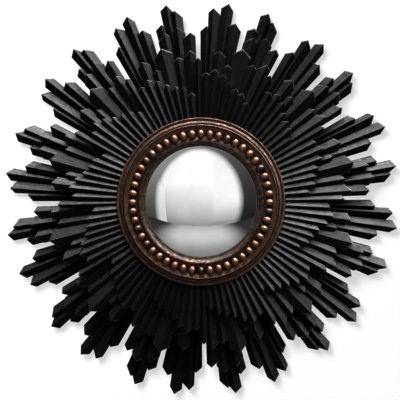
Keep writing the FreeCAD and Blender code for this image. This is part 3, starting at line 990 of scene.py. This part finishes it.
# Pieces nobody sees stay as the CAD has them, with their own materials
hiddenFinish = {
    "core_ring": stainedBoard,
    "front_tier_ring": blackPly,
    "second_tier_ring": blackPly,
    "third_tier_ring": blackPly,
    "glass_gasket": greyFelt,
    "glass_cushion": whiteFoam,
}
for nodeName, material in hiddenFinish.items():
    paint(cadNodes[nodeName], material)


# Studio: a white wall, a pale floor, a screen and a floor card for the glass to show, and soft boxes
# sizes and places are in metres
studio = {
    "wallSize": 14.0,
    "wallGap": 0.001,
    "wallGlow": 0.73,
    "floor": -2.6,
    "floorSize": 24.0,
    "floorMiddle": -4.0,
    "floorGlow": 0.7,
    "world": 0.03,
    "gamma": 0.65,
}


def makeWall():
    # white in front, nothing from behind, so that the back can be looked at
    clearSelection()
    bpy.ops.mesh.primitive_plane_add(
        size=studio["wallSize"], location=(0, studio["wallGap"], 0), rotation=ontoWall
    )
    wall = bpy.context.object
    wall.name = "wall"
    settle(wall)
    material, tree, shader, _ = startMaterial("whiteWall")
    setInputs(tree, shader, {
        "Base Color": linear("#8a8a8a"), "Roughness": 0.9, "Specular IOR Level": 0.0,
        "Emission Color": linear("#ffffff"), "Emission Strength": studio["wallGlow"]})
    clear = addNode(tree, "BsdfTransparent", {})
    behind = addNode(tree, "NewGeometry", {}, "Backfacing")
    mix = addNode(tree, "MixShader", {0: behind, 1: shader.outputs[0], 2: clear})
    tree.links.new(mix, tree.nodes["Material Output"].inputs["Surface"])
    wall.data.materials.append(material)
    wall.visible_shadow = False
    return wall


def makeFloor():
    clearSelection()
    bpy.ops.mesh.primitive_plane_add(
        size=studio["floorSize"], location=(0, studio["floorMiddle"], studio["floor"])
    )
    floor = bpy.context.object
    floor.name = "floor"
    material, tree, shader, place = startMaterial("paleFloor")
    cloud = addNode(tree, "TexNoise", {"Vector": place, "Scale": 1 / (909 * mm), "Detail": 3.0})
    colour = addNode(tree, "ValToRGB", {"Fac": cloud}, stops=((0.3, "#cfcecc"), (0.7, "#d3d2d0")))
    setInputs(tree, shader, {
        "Base Color": colour, "Roughness": 0.7,
        "Emission Color": colour, "Emission Strength": studio["floorGlow"]})
    floor.data.materials.append(material)
    floor.visible_glossy = False
    floor.visible_diffuse = False


# Shown: what the glass reflects, strengths that fade from one place to another
shown = {
    "away": 5.0,
    "shift": -0.2,
    "width": 24.0,
    "height": 14.0,
    "curve": 0.87,
    # axis, first and last place, strength there
    "screenFades": {
        "leftBoardSide": ("X", -3.4, -1.0, 0.88, 1.0),
        "rightBoardRise": ("Z", -2.6, 0.1, 0.55, 1.08),
        "rightBoardFoot": ("Z", -2.2, -2.05, 0.85, 1.0),
        "boardSeam": ("X", 0.9, 1.5, 0.0, 1.0),
        "edgeLean": ("Z", 0.8, 3.2, 0.0, 2.0),
        "stripLeft": ("X", -5.9, -4.2, 0.0, 1.0),
        "stripRight": ("X", -3.42, -3.5, 0.0, 1.0),
        "stripFoot": ("Z", -2.75, -2.5, 0.0, 1.0),
        "stripTop": ("Z", 3.4, 1.2, 0.0, 1.0),
        "stripRise": ("Z", -2.0, 1.0, 0.85, 1.0),
        "roomUp": ("Z", -4.5, 8.0, 0.09, 0.5),
        "roomAcross": ("X", -6.0, 6.5, 1.0, 0.3),
    },
    "floorFades": {
        "far": ("Y", -5.0, -3.6, 0.62, 0.78),
        "near": ("Y", -3.2, -1.2, 1.0, 0.42),
        "left": ("X", -4.0, -1.2, 0.1, 1.0),
        "right": ("X", 4.0, 1.4, 0.1, 1.0),
    },
    "leftBoard": {"foot": -2.45, "top": 1.6, "curve": 0.8, "gain": 0.72, "least": 0.46},
    "leftEdge": (-3.5, -3.42),
    "oval": {"shift": (0.046, 0, 0.026), "across": 5.6, "up": 7.56, "fade": (0.03, 0.3)},
}


def makeGlow(name, table):
    # a surface that only gives light, with the fades that make up its strength
    material = bpy.data.materials.new(name)
    material.use_nodes = True
    tree = material.node_tree
    light = addNode(tree, "Emission", {"Color": linear("#ffffff")})
    tree.links.new(light, tree.nodes["Material Output"].inputs["Surface"])
    place = addNode(tree, "TexCoord", {}, "Object")
    parts = addNode(tree, "SeparateXYZ", {"Vector": place}).node.outputs
    fades = {}
    for fade, (axis, first, last, firstStrength, lastStrength) in table.items():
        fades[fade] = addNode(tree, "MapRange", {
            "Value": parts[axis], "From Min": first, "From Max": last,
            "To Min": firstStrength, "To Max": lastStrength}, interpolation_type="SMOOTHSTEP")
    return material, tree, light.node, place, parts, fades


def addShown(name, width, height, place, turn, glow, strength):
    # a panel that shows in the glass and the copper and lights nothing
    material, tree, light = glow
    eased = addNode(tree, "Math", {0: strength, 1: shown["curve"]}, operation="POWER")
    tree.links.new(eased, light.inputs["Strength"])
    clearSelection()
    bpy.ops.mesh.primitive_plane_add(size=1, location=place, rotation=(turn, 0, 0))
    panel = bpy.context.object
    panel.name = name
    panel.scale = (width, height, 1)
    bpy.ops.object.transform_apply(location=False, rotation=True, scale=True)
    panel.data.materials.append(material)
    panel.visible_camera = False
    panel.visible_diffuse = False
    panel.visible_shadow = False


def makeScreen():
    # two white boards with a lit strip beside them, fading softly into a dim room
    material, tree, light, place, parts, fades = makeGlow("screenGlow", shown["screenFades"])
    left, oval = shown["leftBoard"], shown["oval"]
    rise = addNode(tree, "MapRange", {
        "Value": parts["Z"], "From Min": left["foot"], "From Max": left["top"]})
    rise = addNode(tree, "Math", {0: rise, 1: left["curve"]}, operation="POWER")
    rise = addNode(tree, "Math", {0: rise, 1: left["gain"], 2: left["least"]}, operation="MULTIPLY_ADD")
    leftBoard = addNode(tree, "Math", {0: rise, 1: fades["leftBoardSide"]}, operation="MULTIPLY")
    rightBoard = addNode(tree, "Math", {
        0: fades["rightBoardRise"], 1: fades["rightBoardFoot"]}, operation="MULTIPLY")
    boards = addNode(tree, "Mix", {0: fades["boardSeam"], 2: leftBoard, 3: rightBoard})
    squeezed = addNode(tree, "Mapping", {
        "Vector": place, "Location": oval["shift"], "Scale": (1 / oval["across"], 1, 1 / oval["up"])})
    centre = addNode(tree, "TexGradient", {"Vector": squeezed}, "Fac", gradient_type="SPHERICAL")
    leaning = addNode(tree, "Math", {0: parts["X"], 1: fades["edgeLean"]}, operation="ADD")
    for value, (start, end) in ((centre, oval["fade"]), (leaning, shown["leftEdge"])):
        edge = addNode(tree, "MapRange", {
            "Value": value, "From Min": start, "From Max": end}, interpolation_type="SMOOTHSTEP")
        boards = addNode(tree, "Math", {0: boards, 1: edge}, operation="MULTIPLY")
    strip = 1.0
    for name in ("stripLeft", "stripRight", "stripFoot", "stripTop", "stripRise"):
        strip = addNode(tree, "Math", {0: strip, 1: fades[name]}, operation="MULTIPLY")
    room = addNode(tree, "Math", {0: fades["roomUp"], 1: fades["roomAcross"]}, operation="MULTIPLY")
    strength = addNode(tree, "Math", {0: boards, 1: strip}, operation="MAXIMUM")
    strength = addNode(tree, "Math", {0: strength, 1: room}, operation="MAXIMUM")
    addShown(
        "screen", shown["width"], shown["height"], (shown["shift"], -shown["away"], 0), -math.pi / 2,
        (material, tree, light), strength,
    )


def makeFloorCard():
    # the floor that the glass shows, brightest a few metres off
    material, tree, light, _, _, fades = makeGlow("floorGlow", shown["floorFades"])
    strength = 1.0
    for fade in fades.values():
        strength = addNode(tree, "Math", {0: strength, 1: fade}, operation="MULTIPLY")
    addShown(
        "floorCard", shown["width"], 2 * shown["away"], (shown["shift"], 0, studio["floor"]), 0,
        (material, tree, light), strength,
    )


# Lights: soft boxes light the pieces from above, the key lights the wall alone and throws soft shadows on it,
# the ray and brow boxes light the rays alone so that they don't show in the glass, the low box spares them
boxColour = (0.985, 0.985, 1.0)
softBoxes = {
    # place, size, watts, seen in gloss, seen by dull surfaces, what it lights
    "topBox": ((0.35, -1.14, 3.2), (3.0, 1.4), 960, True, False, "allButWall"),
    "rayBox": ((0.35, -1.14, 3.2), (3.0, 1.4), 640, True, False, "raysOnly"),
    "browBox": ((0.2, -2.9, 3.1), (2.6, 1.0), 560, True, False, "raysOnly"),
    "topFill": ((0.4, -1.14, 3.2), (2.6, 1.4), 190, False, True, "allButWall"),
    "rightBox": ((2.52, -1.16, 2.14), (1.4, 1.4), 440, True, False, "allButWall"),
    "leftBox": ((-2.52, -1.16, 2.14), (1.4, 1.4), 10, True, False, "allButWall"),
    "frontBox": ((1.6, -4.6, 1.2), (1.4, 1.4), 165, False, True, "allButWall"),
    "lowBox": ((0.3, -3.6, -1.6), (1.6, 1.6), 45, False, True, "allButRays"),
    "keyBox": ((-2.3, -4.2, 3.6), (2.8, 2.8), 630, False, True, "wallOnly"),
    "backBox": ((1.5, 4.6, 2.4), (1.6, 1.6), 620, True, True, "allButWall"),
}


def makeLights(wall, rays):
    groups = {}
    for name, members, state in (
        ("wallOnly", [wall], "INCLUDE"),
        ("allButWall", [wall], "EXCLUDE"),
        ("raysOnly", rays, "INCLUDE"),
        ("allButRays", [wall] + rays, "EXCLUDE"),
    ):
        groups[name] = bpy.data.collections.new(name)
        for member in members:
            groups[name].objects.link(member)
        for link in groups[name].collection_objects:
            link.light_linking.link_state = state
    for name, (place, size, watts, gloss, dull, lit) in softBoxes.items():
        lamp = bpy.data.lights.new(name, "AREA")
        lamp.shape = "RECTANGLE"
        lamp.size, lamp.size_y = size
        lamp.energy = watts
        lamp.color = boxColour
        box = bpy.data.objects.new(name, lamp)
        bpy.context.scene.collection.objects.link(box)
        box.location = place
        box.rotation_euler = (-Vector(place)).to_track_quat("-Z", "Y").to_euler()
        box.visible_glossy = gloss
        box.visible_diffuse = dull
        box.light_linking.receiver_collection = groups[lit]


def makeWorld():
    # pale where the camera looks past the stage, dim as a source of light
    world = bpy.data.worlds.new("studioAir")
    bpy.context.scene.world = world
    world.use_nodes = True
    tree = world.node_tree
    eye = addNode(tree, "LightPath", {}, "Is Camera Ray")
    dim = addNode(tree, "Background", {"Color": linear("#ffffff"), "Strength": studio["world"]})
    pale = addNode(tree, "Background", {"Color": linear("#e9e9e8"), "Strength": 1.0})
    mix = addNode(tree, "MixShader", {0: eye, 1: dim, 2: pale})
    tree.links.new(mix, tree.nodes["World Output"].inputs["Surface"])


# Camera: far off and a little above, field is the width that it sees at the target
view = {"away": 3.0, "up": 4.0, "left": -1.0, "field": 709.6 * mm, "target": (-2.3 * mm, -12 * mm, 0.9 * mm)}


def makeCamera():
    up, left = math.radians(view["up"]), math.radians(view["left"])
    target = Vector(view["target"])
    back = Vector((-math.sin(left) * math.cos(up), -math.cos(left) * math.cos(up), math.sin(up)))
    data = bpy.data.cameras.new("wallCamera")
    data.lens = data.sensor_width * view["away"] / view["field"]
    camera = bpy.data.objects.new("wallCamera", data)
    bpy.context.scene.collection.objects.link(camera)
    camera.location = target + back * view["away"]
    camera.rotation_euler = (-back).to_track_quat("-Z", "Y").to_euler()
    bpy.context.scene.camera = camera


wall = makeWall()
makeFloor()
makeScreen()
makeFloorCard()
makeLights(wall, rays)
makeWorld()
makeCamera()
bpy.context.scene.view_settings.view_transform = "Standard"
bpy.context.scene.view_settings.gamma = studio["gamma"]
print("studio set")

clearSelection()
